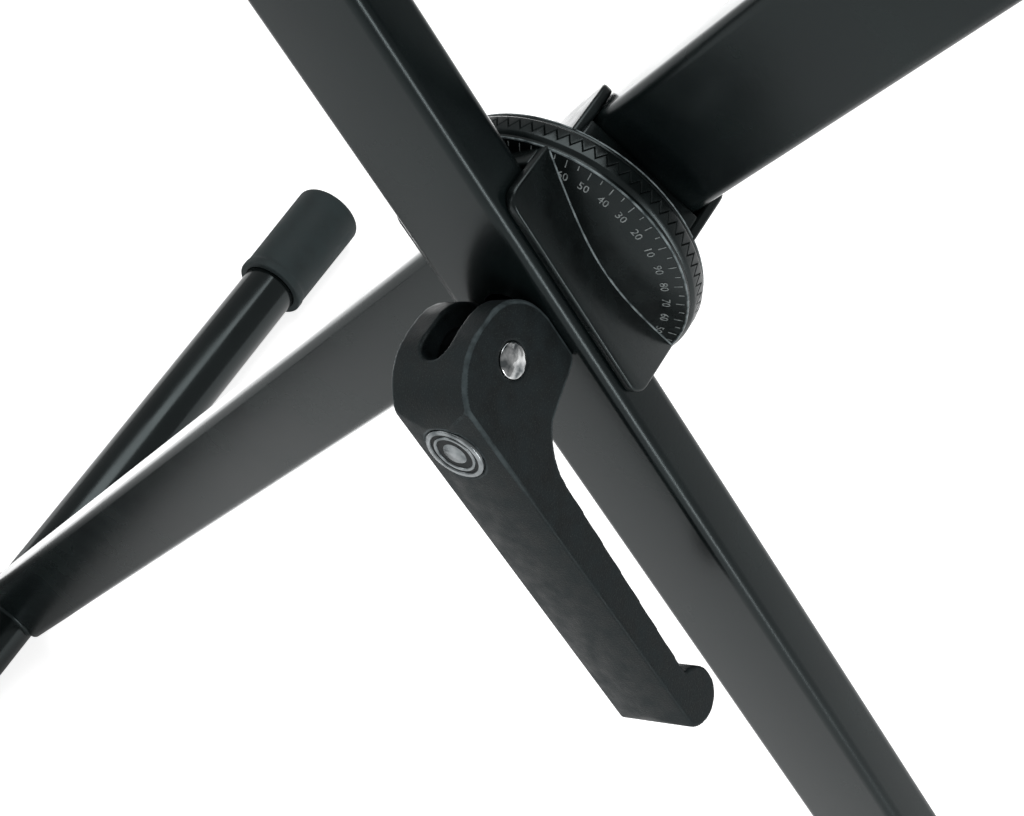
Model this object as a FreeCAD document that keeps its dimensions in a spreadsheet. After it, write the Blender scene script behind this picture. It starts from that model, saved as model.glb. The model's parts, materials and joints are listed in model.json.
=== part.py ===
"""Folding X keyboard stand: two crossed legs, toothed lock discs and a cam lever.

Millimetres. +Z is up, the legs cross about the Y axis, and Y = 0 is the plane
between the two legs, where the teeth of the lock discs meet. The origin is on
the floor under the crossing. The player stands on the -Y side.
"""
import FreeCAD, Part
import math
import os
import Sketcher

Vector = FreeCAD.Vector
Y_AXIS = Vector(0, 1, 0)

# ---------------------------------------------------------------- dimensions

DIMENSIONS = {
    # legs
    "half_angle": 33.35,          # degrees from the vertical to each leg
    "leg_reach": 490,             # crossing to the foot bar's axis
    "upper_reach": 490,           # crossing to the rest bar's axis
    "tube_width": 30,
    "tube_depth": 14,
    "tube_wall": 1.5,
    "tube_corner": 3,
    "tube_setback": 8,            # square end of the tube, short of the bar's axis
    "leg_gap": 17.6,              # between the two tubes
    # cross bars
    "bar_radius": 13,
    "bar_wall": 1.5,
    "foot_half_span": 270.5,      # to the outer end of a foot cap
    "rest_half_span": 180,        # to the outer end of a rest cap
    # rubber
    "cap_fit": 0.05,              # radial, rubber over a bar
    "cap_floor": 5,
    "foot_cap_length": 54.5,
    "foot_cap_radius": 16.5,
    "foot_cap_taper": 0.4,        # the cap is this much slimmer behind its mouth
    "foot_cap_lip": 4,
    "foot_cap_edge": 3,
    "sole_depth": 0.5,            # flat worn under the cap
    "rest_cap_length": 26,
    "rest_cap_radius": 16,
    "stop_radius": 22,            # flange that keeps the keyboard from sliding off
    "stop_thickness": 7,
    "stop_edge": 2,
    "sleeve_thickness": 2.5,
    "sleeve_length": 90,
    # lock discs
    "disc_radius": 34.2,
    "disc_back_radius": 18,
    "disc_rim_radius": 33.5,
    "disc_rim_depth": 3.6,        # parting plane to where the dished back starts
    "disc_rim_step": 0.8,
    "disc_chamfer": 1.8,
    "tooth_count": 72,
    "tooth_height": 2.4,
    "tooth_gap": 0.1,             # along Y between meshed flanks
    "tooth_band": 6.5,
    "recess_depth": 1.5,
    "chamber_radius": 9.2,
    "disc_floor": 2,              # web behind the spring chamber
    "saddle_half_length": 29,
    "saddle_wall": 2.6,
    "saddle_fit": 0.15,           # each side of the tube
    "saddle_lip": 2.7,            # the walls end this far behind the tube's face
    "saddle_corner": 4,
    "saddle_front": 3,            # parting plane to the saddle block
    # tie rod and its hardware
    "rod_radius": 4,
    "rod_fit": 0.1,
    "eye_radius": 7.5,
    "eye_thickness": 7.6,
    "spacer_wall": 1.9,
    "washer_radius": 12,
    "washer_thickness": 2,
    "nut_across": 13,
    "nut_height": 8,
    "rod_stickout": 2.5,
    "rod_chamfer": 0.8,
    "spring_wire": 1.6,           # wire diameter
    "spring_radius": 7,           # to the wire's centre
    "spring_turns": 4,
    "spring_fit": 0.35,           # short of the far disc
    # clamp lever
    "pin_radius": 4,
    "pin_fit": 0.05,
    "pin_dome": 0.6,               # the ends stand out, chamfered, by this much
    "cam_height": 14.3,           # pin to the foot that presses on the tube
    "cam_gap": 0.05,
    "release_travel": 3,          # drop of the cam over a quarter turn
    "foot_length": 12.3,
    "foot_chamfer": 1.4,
    "lever_width": 22,
    "lever_length": 104.2,        # pin to the tip
    "lever_front": 18.4,          # pin to the front face
    "lever_crown": 1.4,
    "head_shoulder": 2.5,
    "bulb_radius": 7.05,
    "grip_thickness": 8.5,
    "neck_thickness": 11.4,
    "neck_reach": 30.8,
    "neck_radius": 17,
    "heel_reach": 17.8,
    "slot_fit": 0.4,              # round the eye and each side of it
    "slot_sweep": 116,            # degrees the slot runs round the head
    "badge_radius": 7,
    "badge_thickness": 1.2,
    "badge_sink": 1.0,
    "badge_reach": 9.3,
    "badge_fit": 0.05,
    "badge_edge": 0.3,
}

doc = FreeCAD.newDocument("keyboard_stand")
sheet = doc.addObject("Spreadsheet::Sheet", "Sizes")
for row, (alias, number) in enumerate(DIMENSIONS.items(), start=1):
    sheet.set("A%d" % row, alias)
    sheet.set("B%d" % row, str(number))
    sheet.setAlias("B%d" % row, alias)
doc.recompute()


class Size:
    """A number together with the expression that ties it to the sheet."""

    def __init__(self, value, text):
        self.value = float(value)
        self.text = text

    def combine(self, sign, other, value):
        return Size(value, "(%s %s %s)" % (self.text, sign, other.text))

    def __add__(self, other):
        other = size(other)
        return self.combine("+", other, self.value + other.value)

    def __sub__(self, other):
        other = size(other)
        return self.combine("-", other, self.value - other.value)

    def __mul__(self, other):
        other = size(other)
        return self.combine("*", other, self.value * other.value)

    def __truediv__(self, other):
        other = size(other)
        return self.combine("/", other, self.value / other.value)

    def __radd__(self, other):
        return size(other) + self

    def __rsub__(self, other):
        return size(other) - self

    def __rmul__(self, other):
        return size(other) * self

    def __neg__(self):
        return size(-1) * self


def size(number):
    """A plain number as a Size; a Size stays as it is."""
    if isinstance(number, Size):
        return number
    return Size(number, "(%s)" % repr(float(number)))


def sine(angle):
    angle = size(angle)
    return Size(math.sin(math.radians(angle.value)), "sin(%s)" % angle.text)


def cosine(angle):
    angle = size(angle)
    return Size(math.cos(math.radians(angle.value)), "cos(%s)" % angle.text)


def root(number):
    return Size(math.sqrt(number.value), "sqrt(%s)" % number.text)


class Sheet:
    """The driving dimensions, one Size each, under their own names."""


dim = Sheet()
for alias in DIMENSIONS:
    setattr(dim, alias, Size(getattr(sheet, alias), "Sizes." + alias))

# ------------------------------------------------------- places worked out once

tube_inner = dim.leg_gap / 2                      # |y| of a tube's inner face
tube_outer = tube_inner + dim.tube_depth          # |y| of its outer face
half_width = dim.tube_width / 2
pivot_height = dim.leg_reach * cosine(dim.half_angle) + dim.foot_cap_radius - dim.sole_depth
pin_plane = tube_outer + dim.cam_height + dim.cam_gap
spacer_radius = dim.rod_radius + dim.rod_fit + dim.spacer_wall
chamber_depth = tube_inner - dim.disc_floor
cap_bore = dim.bar_radius + dim.cap_fit
sides = {"front": -1, "rear": 1}

# -------------------------------------------------------------- drawing helpers


def start_body(name):
    """An empty body whose label names its file."""
    body = doc.addObject("PartDesign::Body", name)
    body.Label = name
    return body


def sketch_on(body, plane):
    """A sketch on one of the body's own origin planes: XY, XZ or YZ."""
    sketch = body.newObject("Sketcher::SketchObject", body.Name + "_sketch")
    origin = [o for o in body.Origin.OriginFeatures if o.Role == plane + "_Plane"][0]
    sketch.AttachmentSupport = [(origin, "")]
    sketch.MapMode = "FlatFace"
    return sketch


def hold(sketch, kind, edge, vertex, length):
    """One dimension of the sketch, bound to the sheet."""
    if vertex:
        constraint = Sketcher.Constraint(kind, -1, 1, edge, vertex, length.value)
    else:
        constraint = Sketcher.Constraint(kind, edge, length.value)
    number = sketch.addConstraint(constraint)
    sketch.setExpression("Constraints[%d]" % number, length.text)


def arc_between(start, end, radius):
    """The shorter arc: anticlockwise from start to end, or clockwise where radius < 0."""
    if radius < 0:
        start, end = end, start
    chord = end - start
    rise = math.sqrt(max(radius ** 2 - (chord.Length / 2) ** 2, 0))
    left = Vector(-chord.y, chord.x, 0).normalize()
    centre = (start + end) * 0.5 + left * rise
    angles = [math.atan2(p.y - centre.y, p.x - centre.x) for p in (start, end)]
    if angles[1] < angles[0]:
        angles[1] += 2 * math.pi
    circle = Part.Circle(centre, Vector(0, 0, 1), abs(radius))
    return Part.ArcOfCircle(circle, angles[0], angles[1])


def outline(sketch, path):
    """A closed outline through points (x, y), or (x, y, radius) where the edge that
    leaves the point is an arc. Each point is held by its two coordinates."""
    corners = [(size(p[0]), size(p[1])) for p in path]
    radii = [size(p[2]) if len(p) > 2 else None for p in path]
    spots = [Vector(x.value, y.value, 0) for x, y in corners]
    first = sketch.GeometryCount
    for index, radius in enumerate(radii):
        start, end = spots[index], spots[(index + 1) % len(spots)]
        if radius is None:
            sketch.addGeometry(Part.LineSegment(start, end), False)
        else:
            sketch.addGeometry(arc_between(start, end, radius.value), False)
    leaving = [2 if r is not None and r.value < 0 else 1 for r in radii]
    for index, (x, y) in enumerate(corners):
        before = (index - 1) % len(corners)
        joined = Sketcher.Constraint(
            "Coincident", first + before, 3 - leaving[before], first + index, leaving[index])
        sketch.addConstraint(joined)
        hold(sketch, "DistanceX", first + index, leaving[index], x)
        hold(sketch, "DistanceY", first + index, leaving[index], y)
    for index, radius in enumerate(radii):
        if radius is not None:
            bend = -radius if radius.value < 0 else radius
            hold(sketch, "Radius", first + index, 0, bend)


def ring(sketch, x, y, radius):
    """A full circle held by its centre and radius."""
    x, y = size(x), size(y)
    middle = Vector(x.value, y.value, 0)
    edge = sketch.addGeometry(Part.Circle(middle, Vector(0, 0, 1), radius.value), False)
    hold(sketch, "DistanceX", edge, 3, x)
    hold(sketch, "DistanceY", edge, 3, y)
    hold(sketch, "Radius", edge, 0, radius)


def rounded_box(sketch, half_x, middle_y, half_y, corner):
    """A rectangle with four round corners, centred on x = 0."""
    right, left = half_x, -half_x
    top, bottom = middle_y + half_y, middle_y - half_y
    outline(sketch, [
        (left + corner, bottom), (right - corner, bottom, corner),
        (right, bottom + corner), (right, top - corner, corner),
        (right - corner, top), (left + corner, top, corner),
        (left, top - corner), (left, bottom + corner, corner)])


def pad(body, sketch, length, kind="Symmetric", other=None):
    feature = body.newObject("PartDesign::Pad", body.Name + "_pad")
    feature.Profile = sketch
    feature.SideType = kind
    feature.setExpression("Length", size(length).text)
    if other is not None:
        feature.setExpression("Length2", other.text)
    return feature


def pocket(body, sketch, length):
    """A cut that runs to both sides of its sketch."""
    feature = body.newObject("PartDesign::Pocket", body.Name + "_pocket")
    feature.Profile = sketch
    feature.SideType = "Symmetric"
    feature.setExpression("Length", size(length).text)
    return feature


def spin(body, kind, sketch, axis="V_Axis"):
    """A Revolution or a Groove, one full turn about an axis of the sketch."""
    feature = body.newObject("PartDesign::" + kind, body.Name + "_" + kind.lower())
    feature.Profile = sketch
    feature.ReferenceAxis = (sketch, [axis])
    feature.Angle = 360
    return feature


def bore(body, radius, length, middle, turn_axis, turn):
    """A round cut; its axis is +Z turned about turn_axis, and it starts at middle."""
    cut = body.newObject("PartDesign::SubtractiveCylinder", body.Name + "_bore")
    cut.Placement = FreeCAD.Placement(Vector(0, 0, 0), FreeCAD.Rotation(turn_axis, turn.value))
    cut.setExpression("Radius", radius.text)
    cut.setExpression("Height", length.text)
    for letter, shift in zip("xyz", middle):
        cut.setExpression("Placement.Base." + letter, size(shift).text)
    cut.setExpression("Placement.Rotation.Angle", turn.text)
    return cut


def place(piece, x, y, z, turn=None):
    """Puts a piece at its place, turned about +Y by an angle of the sheet."""
    if turn is not None:
        piece.Placement = FreeCAD.Placement(Vector(0, 0, 0), FreeCAD.Rotation(Y_AXIS, 10))
        piece.setExpression("Placement.Rotation.Angle", turn.text)
    for letter, shift in zip("xyz", (x, y, z)):
        piece.setExpression("Placement.Base." + letter, size(shift).text)
    return piece


def turned(name, path, axis="V_Axis"):
    """A piece made on a lathe: the path is (radius, along) about V, the Y direction."""
    body = start_body(name)
    sketch = sketch_on(body, "XY")
    outline(sketch, path)
    spin(body, "Revolution", sketch, axis)
    return body


# ------------------------------------------------------------------------ legs


def bar_spot(side, reach, up):
    """X and Z of a cross bar's axis. up is 1 for the rest bar and -1 for the foot bar."""
    x = size(side * up) * reach * sine(dim.half_angle)
    z = pivot_height + size(up) * reach * cosine(dim.half_angle)
    return x, z


def leg_tube(name, side):
    """Flat tube with a fishmouth on each bar and a cross hole for the spacer sleeve."""
    body = start_body(name)
    section = sketch_on(body, "XY")
    middle = size(side) * (tube_inner + dim.tube_depth / 2)
    rounded_box(section, half_width, middle, dim.tube_depth / 2, dim.tube_corner)
    inner_corner = dim.tube_corner - dim.tube_wall
    rounded_box(section, half_width - dim.tube_wall, middle,
                dim.tube_depth / 2 - dim.tube_wall, inner_corner)
    pad(body, section, dim.upper_reach - dim.tube_setback, "Two sides",
        dim.leg_reach - dim.tube_setback)
    holes = sketch_on(body, "XZ")
    ring(holes, 0, dim.upper_reach, dim.bar_radius)
    ring(holes, 0, -dim.leg_reach, dim.bar_radius)
    ring(holes, 0, 0, spacer_radius)
    pocket(body, holes, 4 * tube_outer)
    return place(body, 0, 0, pivot_height, size(side) * dim.half_angle)


def cross_bar(name, side, reach, up, half_span):
    """Round tube across the stand, closed by a cap's floor at each end."""
    end = half_span - dim.cap_floor
    inside = dim.bar_radius - dim.bar_wall
    body = turned(name, [
        (inside, -end), (dim.bar_radius, -end), (dim.bar_radius, end), (inside, end)])
    x, z = bar_spot(side, reach, up)
    return place(body, x, 0, z)


def foot_cap(name, side, along):
    """Rubber cap with a lip at its mouth, a rounded end and a flat sole."""
    outer = dim.foot_cap_radius
    slim = outer - dim.foot_cap_taper
    edge = dim.foot_cap_edge
    end = size(along) * dim.foot_half_span
    mouth = end - along * dim.foot_cap_length
    bend = edge if along > 0 else -edge
    floor = end - along * dim.cap_floor
    body = turned(name, [
        (cap_bore, mouth), (outer, mouth),
        (outer, mouth + along * dim.foot_cap_lip),
        (slim, mouth + along * (dim.foot_cap_lip + dim.foot_cap_taper)),
        (outer, end - along * edge, bend),
        (outer - edge, end), (0, end), (0, floor), (cap_bore, floor)])
    sole = sketch_on(body, "XZ")
    low = dim.sole_depth - outer
    outline(sole, [(-outer, low), (outer, low), (outer, low - outer), (-outer, low - outer)])
    pocket(body, sole, 3 * dim.foot_half_span)
    x, z = bar_spot(side, dim.leg_reach, -1)
    return place(body, x, 0, z)


def rest_cap(name, side, along, radius, thickness):
    """Rubber cap of a rest bar. A wide flange stops the keyboard on the player's side."""
    end = size(along) * dim.rest_half_span
    mouth = end - along * dim.rest_cap_length
    floor = end - along * dim.cap_floor
    flange = end - along * thickness
    edge = dim.stop_edge
    bend = edge if along > 0 else -edge
    body = turned(name, [
        (cap_bore, mouth), (dim.rest_cap_radius, mouth), (dim.rest_cap_radius, flange),
        (radius, flange), (radius, end - along * edge, bend),
        (radius - edge, end), (0, end), (0, floor), (cap_bore, floor)])
    x, z = bar_spot(side, dim.upper_reach, 1)
    return place(body, x, 0, z)


def rest_sleeve(name, side, along):
    """Rubber sleeve that the keyboard lies on, pushed up against the cap."""
    outer_end = size(along) * (dim.rest_half_span - dim.rest_cap_length)
    inner_end = outer_end - along * dim.sleeve_length
    outer = cap_bore + dim.sleeve_thickness
    body = turned(name, [
        (cap_bore, inner_end), (outer, inner_end), (outer, outer_end), (cap_bore, outer_end)])
    x, z = bar_spot(side, dim.upper_reach, 1)
    return place(body, x, 0, z)


def build_leg(leg):
    """One leg: its tube, two cross bars and their rubber."""
    side = sides[leg]
    foot, rest = ("right", "left") if leg == "front" else ("left", "right")
    pieces = [
        leg_tube(leg + "_leg_tube", side),
        cross_bar(leg + "_leg_foot_bar", side, dim.leg_reach, -1, dim.foot_half_span),
        cross_bar(leg + "_leg_rest_bar", side, dim.upper_reach, 1, dim.rest_half_span)]
    for end, along in (("front", -1), ("back", 1)):
        pieces.append(foot_cap("%s_foot_cap_%s" % (foot, end), side, along))
        pieces.append(rest_sleeve("%s_rest_sleeve_%s" % (rest, end), side, along))
    pieces.append(rest_cap(rest + "_rest_stop_cap", side, -1, dim.stop_radius, dim.stop_thickness))
    pieces.append(rest_cap(rest + "_rest_end_cap", side, 1, cap_bore + dim.sleeve_thickness,
                           dim.stop_thickness))
    return pieces


# ------------------------------------------------------------------ lock discs

tooth_slope = dim.tooth_height / 2 / dim.disc_radius   # flanks run out from the axis


def tooth_cutter(name, side):
    """Everything on the far side of the toothed face: a star of flat flanks that all
    pass through the axis. Both discs use the same star, so their teeth mesh."""
    count = int(dim.tooth_count.value)
    reach = dim.disc_radius.value * 1.2
    deep = tube_outer.value
    shift = side * dim.tooth_gap.value / 2
    turn = math.radians(side * dim.half_angle.value)
    centre = Vector(0, shift, 0)
    near, far = [], []
    for step in range(2 * count):
        angle = math.pi * step / count + turn
        wave = tooth_slope.value * reach * (1 if step % 2 else -1)
        near.append(Vector(reach * math.cos(angle), wave + shift, reach * math.sin(angle)))
        far.append(Vector(near[-1].x, -side * deep, near[-1].z))
    faces = [Part.Face(Part.makePolygon(far + far[:1]))]
    for step in range(2 * count):
        after = (step + 1) % (2 * count)
        flank = [centre, near[step], near[after], centre]
        wall = [near[step], near[after], far[after], far[step], near[step]]
        faces.append(Part.Face(Part.makePolygon(flank)))
        faces.append(Part.Face(Part.makePolygon(wall)))
    solid = Part.makeSolid(Part.makeShell(faces))
    if solid.Volume < 0:
        solid.reverse()
    cutter = doc.addObject("Part::Feature", name)
    cutter.Shape = solid
    return cutter


def lock_disc(leg):
    """Moulded disc with radial teeth, a dished back and a saddle over the leg's tube."""
    side = sides[leg]
    name = leg + "_gear_disc"
    crest = dim.tooth_height / 2
    blank = start_body(name + "_blank")

    profile = sketch_on(blank, "XY")
    rim = dim.disc_radius
    outline(profile, [
        (0, -side * crest), (rim, -side * crest),
        (rim, side * (dim.disc_rim_depth - dim.disc_rim_step - dim.disc_chamfer / 2)),
        (dim.disc_rim_radius, side * (dim.disc_rim_depth - dim.disc_rim_step)),
        (dim.disc_rim_radius, side * dim.disc_rim_depth),
        (dim.disc_back_radius, side * tube_inner), (0, side * tube_inner)])
    spin(blank, "Revolution", profile)

    saddle = sketch_on(blank, "YZ")
    long_end = dim.saddle_half_length
    tip = tube_outer - dim.saddle_lip
    corner = dim.saddle_corner
    bend = corner if side > 0 else -corner
    outline(saddle, [
        (side * dim.saddle_front, -long_end), (side * (tip - corner), -long_end, bend),
        (side * tip, corner - long_end), (side * tip, long_end - corner, bend),
        (side * (tip - corner), long_end), (side * dim.saddle_front, long_end)])
    inside = half_width + dim.saddle_fit
    pad(blank, saddle, 2 * (inside + dim.saddle_wall))

    channel = sketch_on(blank, "XY")
    outline(channel, [
        (-inside, side * tube_inner), (inside, side * tube_inner),
        (inside, side * tube_outer), (-inside, side * tube_outer)])
    pocket(blank, channel, 3 * long_end)

    hollow = sketch_on(blank, "XY")
    hole = dim.rod_radius + 3 * dim.rod_fit
    band = rim - dim.tooth_band
    outline(hollow, [
        (0, -side * tube_inner), (band, -side * tube_inner),
        (band, side * dim.recess_depth), (dim.chamber_radius, side * dim.recess_depth),
        (dim.chamber_radius, side * chamber_depth), (hole, side * chamber_depth),
        (hole, side * tube_outer), (0, side * tube_outer)])
    spin(blank, "Groove", hollow)

    disc = doc.addObject("Part::Cut", name)
    disc.Label = name
    disc.Base = blank
    disc.Tool = tooth_cutter(name + "_teeth", side)
    return place(disc, 0, 0, pivot_height, side * dim.half_angle)


# ------------------------------------------------- tie rod, spacers and hardware


def spacer_sleeve(leg):
    """Steel bush that keeps the clamp from crushing the tube."""
    side = sides[leg]
    inside = dim.rod_radius + dim.rod_fit
    body = turned(leg + "_spacer_sleeve", [
        (inside, side * tube_inner), (spacer_radius, side * tube_inner),
        (spacer_radius, side * tube_outer), (inside, side * tube_outer)])
    return place(body, 0, 0, pivot_height)


def tie_rod():
    """Eye bolt through both legs: the lever's pin runs in its eye."""
    body = start_body("tie_rod")
    eye = sketch_on(body, "YZ")
    ring(eye, -pin_plane, 0, dim.eye_radius)
    ring(eye, -pin_plane, 0, dim.pin_radius + dim.pin_fit)
    pad(body, eye, dim.eye_thickness)
    shank = sketch_on(body, "XY")
    start = (dim.eye_radius + dim.pin_radius + dim.pin_fit) / 2 - pin_plane
    end = tube_outer + dim.washer_thickness + dim.nut_height + dim.rod_stickout
    outline(shank, [
        (0, start), (dim.rod_radius, start), (dim.rod_radius, end - dim.rod_chamfer),
        (dim.rod_radius - dim.rod_chamfer, end), (0, end)])
    spin(body, "Revolution", shank)
    return place(body, 0, 0, pivot_height, -dim.half_angle)


def rear_washer():
    inside = dim.rod_radius + dim.rod_fit
    face = tube_outer + dim.washer_thickness
    body = turned("rear_washer", [
        (inside, tube_outer), (dim.washer_radius, tube_outer),
        (dim.washer_radius, face), (inside, face)])
    return place(body, 0, 0, pivot_height)


def lock_nut():
    """Hexagon nut on the rod's rear end."""
    body = start_body("lock_nut")
    section = sketch_on(body, "XZ")
    corner = dim.nut_across / 2 / cosine(30)
    outline(section, [(corner * cosine(60 * n), corner * sine(60 * n)) for n in range(6)])
    ring(section, 0, 0, dim.rod_radius)
    middle = tube_outer + dim.washer_thickness + dim.nut_height / 2
    pad(body, section, dim.nut_height)
    return place(body, 0, middle, pivot_height, -dim.half_angle)


def quarter_arcs(radius, rise, turns, start):
    """Edges of a helix about Y: two tangent arcs for each quarter turn."""
    def at(angle):
        along = start + rise * angle / (2 * math.pi)
        return Vector(radius * math.cos(angle), along, radius * math.sin(angle))

    def heading(angle):
        slope = rise / (2 * math.pi)
        return Vector(-radius * math.sin(angle), slope, radius * math.cos(angle)).normalize()

    edges = []
    for quarter in range(int(round(4 * turns))):
        a, b = math.pi / 2 * quarter, math.pi / 2 * (quarter + 1)
        p, q, u, v = at(a), at(b), heading(a), heading(b)
        span, both = q - p, u + v
        spread = 2 * (1 - u.dot(v))
        arm = (math.sqrt(span.dot(both) ** 2 + spread * span.dot(span)) - span.dot(both)) / spread
        joint = (p + u * arm + q - v * arm) * 0.5
        for begin, corner, finish in ((p, p + u * arm, joint), (joint, q - v * arm, q)):
            middle = (begin + finish) * 0.5
            out = corner - middle
            half, leg = (finish - begin).Length / 2, (corner - begin).Length
            bend = half * leg / out.Length
            sag = bend - math.sqrt(bend ** 2 - half ** 2)
            edges.append(Part.Arc(begin, middle + out.normalize() * sag, finish).toShape())
    return edges


def opening_spring():
    """Round-wire spring in the discs' chambers: it parts the teeth when the cam lets go."""
    wire_radius = dim.spring_wire.value / 2
    start = wire_radius - chamber_depth.value
    end = chamber_depth.value - wire_radius - dim.spring_fit.value
    turns = dim.spring_turns.value
    rise = (end - start) / turns
    radius = dim.spring_radius.value
    path = Part.Wire(quarter_arcs(radius, rise, turns, start))
    heading = Vector(0, rise / (2 * math.pi), radius)
    section = Part.Wire(Part.makeCircle(wire_radius, Vector(radius, start, 0), heading))
    shell = Part.BRepOffsetAPI.MakePipeShell(path)
    shell.setFrenetMode(False)
    shell.add(section)
    shell.build()
    shell.makeSolid()
    print("spring: least gap between turns %.2f mm" % (rise - dim.spring_wire.value))
    piece = doc.addObject("Part::Feature", "opening_spring")
    piece.Label = "opening_spring"
    piece.Shape = shell.shape()
    return place(piece, 0, 0, pivot_height)


# ----------------------------------------------------------------- clamp lever


def cam_point(angle, lift):
    """Where a cam that drops evenly with its turn touches the tube, lift per radian."""
    reach = dim.cam_height - lift * math.radians(angle)
    x = reach * cosine(angle) + lift * sine(angle)
    y = reach * sine(angle) - lift * cosine(angle)
    return x, y


def lever_outline(sketch):
    """Side view about the pin: x runs towards the tube and y up the leg."""
    lift = dim.release_travel / math.radians(90)
    head = dim.cam_height - dim.release_travel
    front = dim.lever_front
    bulb = dim.bulb_radius
    bulb_y = bulb - dim.lever_length
    rise = root(bulb * bulb - (dim.grip_thickness - bulb) * (dim.grip_thickness - bulb))
    foot_y = -dim.foot_length
    brow_run, brow_drop = front - dim.head_shoulder, head + dim.head_shoulder
    brow = (brow_run * brow_run + brow_drop * brow_drop) / brow_drop / 2
    path = [(dim.cam_height, foot_y)]
    for angle in (0, 30, 60):
        x, y = cam_point(angle, lift)
        path.append((x, y, dim.cam_height - lift * math.radians(angle + 15)))
    path.append(cam_point(90, lift))
    path += [
        (-dim.head_shoulder, head, brow),
        (-front, -dim.head_shoulder),
        (-front, bulb_y, bulb),
        (bulb - front, -dim.lever_length, bulb),
        (2 * bulb - front, bulb_y, bulb),
        (dim.grip_thickness - front, bulb_y + rise),
        (dim.neck_thickness - front, -dim.neck_reach, -dim.neck_radius),
        (0, -dim.heel_reach),
        (dim.cam_height - dim.foot_chamfer, foot_y - dim.foot_chamfer)]
    outline(sketch, path)


def clamp_lever():
    """Cam lever: a crowned grip with a slotted head that swings about the rod's eye."""
    body = start_body("clamp_lever")
    profile = sketch_on(body, "YZ")
    lever_outline(profile)
    pad(body, profile, dim.lever_width)

    crown = sketch_on(body, "XY")
    half = dim.lever_width / 2
    low = dim.lever_crown - dim.lever_front
    bow = (half * half + dim.lever_crown * dim.lever_crown) / dim.lever_crown / 2
    outline(crown, [
        (-half, low, bow), (half, low), (half, -2 * dim.lever_front), (-half, -2 * dim.lever_front)])
    pocket(body, crown, 3 * dim.lever_length)

    slot = sketch_on(body, "YZ")
    half_slot = dim.rod_radius + 3 * dim.rod_fit
    beyond = dim.cam_height + dim.slot_fit
    outline(slot, [
        (0, -half_slot), (beyond, -half_slot), (beyond, dim.cam_height),
        (dim.cam_height * cosine(dim.slot_sweep) / sine(dim.slot_sweep), dim.cam_height), (0, 0)])
    width = dim.eye_thickness + 2 * dim.slot_fit
    pocket(body, slot, width)

    across = Size(90, "90")
    bore(body, dim.eye_radius + dim.slot_fit, width, (-width / 2, 0, 0), Y_AXIS, across)
    tilt = dim.slot_sweep - 90
    bore(body, width / 2, 2 * dim.lever_front, (0, 0, 0), Vector(1, 0, 0), tilt)
    bore(body, dim.pin_radius, 2 * dim.lever_width, (-dim.lever_width, 0, 0), Y_AXIS, across)
    seat = dim.badge_radius + dim.badge_fit
    bore(body, seat, dim.lever_front, (0, dim.badge_sink - dim.lever_front, -dim.badge_reach),
         Vector(1, 0, 0), across)
    return place(body, 0, -pin_plane, pivot_height, -dim.half_angle)


def lever_pin():
    """Round pin with domed ends, along the lever's width."""
    half = dim.lever_width / 2
    radius = dim.pin_radius
    dome = dim.pin_dome
    flat = radius - dome
    body = turned("lever_pin", [
        (-half - dome, 0), (-half - dome, flat), (-half, radius),
        (half, radius), (half + dome, flat), (half + dome, 0)], "H_Axis")
    return place(body, 0, -pin_plane, pivot_height, -dim.half_angle)


def lever_badge():
    """Plain round badge let into the lever's front face."""
    back = dim.badge_sink - dim.lever_front
    face = back - dim.badge_thickness
    radius, edge = dim.badge_radius, dim.badge_edge
    body = turned("lever_badge", [
        (0, back), (radius, back), (radius, face + edge), (radius - edge, face), (0, face)])
    x = dim.badge_reach * sine(dim.half_angle)
    z = pivot_height - dim.badge_reach * cosine(dim.half_angle)
    return place(body, x, -pin_plane, z, -dim.half_angle)


# ----------------------------------------------------------------------- build

pieces = build_leg("front") + build_leg("rear")
pieces += [lock_disc("front"), lock_disc("rear"), spacer_sleeve("front"), spacer_sleeve("rear")]
pieces += [tie_rod(), rear_washer(), lock_nut(), opening_spring()]
pieces += [clamp_lever(), lever_pin(), lever_badge()]
doc.recompute()

for thing in doc.Objects:
    if "Invalid" in thing.State or "Error" in thing.State:
        raise RuntimeError("%s did not build: %s" % (thing.Label, thing.State))
for piece in pieces:
    if piece.Shape.isNull() or not piece.Shape.isValid() or not piece.Shape.Solids:
        raise RuntimeError("%s has no valid solid" % piece.Label)

os.makedirs("parts", exist_ok=True)
for piece in pieces:
    piece.Shape.exportStep("parts/%s.step" % piece.Label)
    box = piece.Shape.BoundBox
    print("%-24s %9.1f mm3  x %.1f..%.1f  y %.1f..%.1f  z %.1f..%.1f" % (
        piece.Label, piece.Shape.Volume, box.XMin, box.XMax, box.YMin, box.YMax, box.ZMin, box.ZMax))
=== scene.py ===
# %% [markdown]
# # A folding keyboard stand
# Two flat steel legs cross like scissors. Toothed discs lock them at an angle, and a cam lever clamps the discs.
# The frame holds every part at its real size; this lesson gives each one its finished surface and fine shape.

# %% Load the frame
import json
import math

import bmesh
import bpy
import numpy as np
from mathutils import Matrix, Vector
from mathutils.bvhtree import BVHTree


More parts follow.
